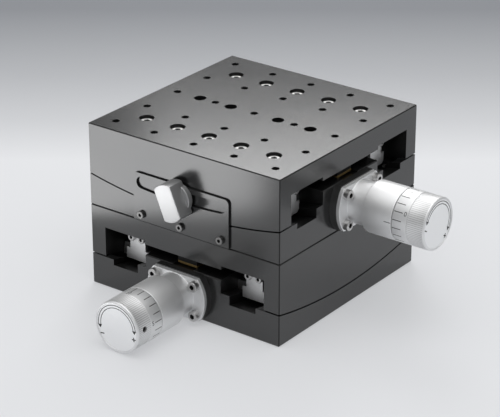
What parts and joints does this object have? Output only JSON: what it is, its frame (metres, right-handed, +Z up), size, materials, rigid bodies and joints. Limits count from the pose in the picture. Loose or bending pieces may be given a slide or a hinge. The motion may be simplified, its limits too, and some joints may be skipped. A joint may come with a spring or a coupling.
{
  "type": "goniometer stage",
  "caption": "Two-axis goniometer stage: two stacked square tilt stages on curved roller guides, each driven by a worm and a dial knob, with a wing clamp.",
  "frame": {"origin": "centre of the lower base's bottom face", "axes": "+Z up, square to the top table; +X towards the upper stage's dial; -Y towards the lower stage's dial"},
  "size_m": [0.1866, 0.172, 0.09],
  "materials": {
    "black_anodised": "satin black anodised",
    "satin_aluminium": "fine turned, satin clear anodised",
    "guide_steel": "ground hardened steel",
    "plate_steel": "satin",
    "cage_brass": "satin",
    "wheel_brass": "milled",
    "screw_steel": "nickel plated",
    "dark_screw": "black oxide"
  },
  "bodies": {
    "fixed_base": {"lower_base": "black_anodised", "lower_base_rails": "guide_steel", "lower_base_rail_screws": "screw_steel", "lower_worm_bearings": "guide_steel", "lower_bearing_boss": "black_anodised", "lower_dial_sleeve": "satin_aluminium", "lower_flange_screws": "screw_steel", "lower_clamp_plate": "black_anodised", "lower_clamp_plate_screws": "screw_steel"},
    "middle_stage": {"lower_table": "black_anodised", "lower_table_rails": "guide_steel", "lower_rail_end_plates": "plate_steel", "lower_table_rail_screws": "screw_steel", "lower_rail_end_screws": "screw_steel", "lower_worm_wheel": "wheel_brass", "lower_worm_wheel_screws": "dark_screw", "upper_base": "black_anodised", "upper_base_rails": "guide_steel", "upper_base_rail_screws": "screw_steel", "upper_worm_bearings": "guide_steel", "upper_bearing_boss": "black_anodised", "upper_dial_sleeve": "satin_aluminium", "upper_flange_screws": "screw_steel", "upper_clamp_plate": "black_anodised", "upper_clamp_plate_screws": "screw_steel", "upper_stage_screws": "screw_steel"},
    "top_table": {"upper_table": "black_anodised", "upper_table_rails": "guide_steel", "upper_rail_end_plates": "plate_steel", "upper_table_rail_screws": "screw_steel", "upper_rail_end_screws": "screw_steel", "upper_worm_wheel": "wheel_brass", "upper_worm_wheel_screws": "dark_screw"},
    "lower_knob": {"lower_worm_shaft": "guide_steel", "lower_dial_ring": "satin_aluminium", "lower_knob_cap": "satin_aluminium", "lower_knob_set_screw": "dark_screw"},
    "upper_knob": {"upper_worm_shaft": "guide_steel", "upper_dial_ring": "satin_aluminium", "upper_knob_cap": "satin_aluminium", "upper_knob_set_screw": "dark_screw"},
    "lower_clamp": {"lower_clamp_knob": "satin_aluminium", "lower_clamp_stud": "guide_steel"},
    "upper_clamp": {"upper_clamp_knob": "satin_aluminium", "upper_clamp_stud": "guide_steel"},
    "lower_roller_set": {"lower_rollers": "guide_steel", "lower_roller_cages": "cage_brass"},
    "upper_roller_set": {"upper_rollers": "guide_steel", "upper_roller_cages": "cage_brass"}
  },
  "joints": [
    {"name": "lower_tilt", "type": "hinge", "parent": "fixed_base", "child": "middle_stage", "pos_m": [0, 0, 0.291], "axis": [1, 0, 0], "range_deg": [-5, 5]},
    {"name": "upper_tilt", "type": "hinge", "parent": "middle_stage", "child": "top_table", "pos_m": [0, 0, 0.336], "axis": [0, 1, 0], "range_deg": [-5, 5]},
    {"name": "lower_knob_turn", "type": "hinge", "parent": "fixed_base", "child": "lower_knob", "pos_m": [0, -0.06, 0.014], "axis": [0, -1, 0], "range_deg": [-2700, 2700]},
    {"name": "upper_knob_turn", "type": "hinge", "parent": "middle_stage", "child": "upper_knob", "pos_m": [0.06, 0, 0.059], "axis": [1, 0, 0], "range_deg": [-2700, 2700]},
    {"name": "lower_roller_travel", "type": "hinge", "parent": "fixed_base", "child": "lower_roller_set", "pos_m": [0, 0, 0.291], "axis": [1, 0, 0], "range_deg": [-2.5, 2.5]},
    {"name": "upper_roller_travel", "type": "hinge", "parent": "middle_stage", "child": "upper_roller_set", "pos_m": [0, 0, 0.336], "axis": [0, 1, 0], "range_deg": [-2.5, 2.5]},
    {"name": "lower_clamp_turn", "type": "hinge", "parent": "middle_stage", "child": "lower_clamp", "pos_m": [-0.06, 0, 0.0203], "axis": [-1, 0, 0], "range_deg": [0, 180]},
    {"name": "upper_clamp_turn", "type": "hinge", "parent": "top_table", "child": "upper_clamp", "pos_m": [0, -0.06, 0.0653], "axis": [0, -1, 0], "range_deg": [0, 180]}
  ],
  "couplings": [
    {"joint": "lower_knob_turn", "follows": "lower_tilt", "ratio": 540},
    {"joint": "upper_knob_turn", "follows": "upper_tilt", "ratio": 540},
    {"joint": "lower_roller_travel", "follows": "lower_tilt", "ratio": 0.5},
    {"joint": "upper_roller_travel", "follows": "upper_tilt", "ratio": 0.5}
  ]
}
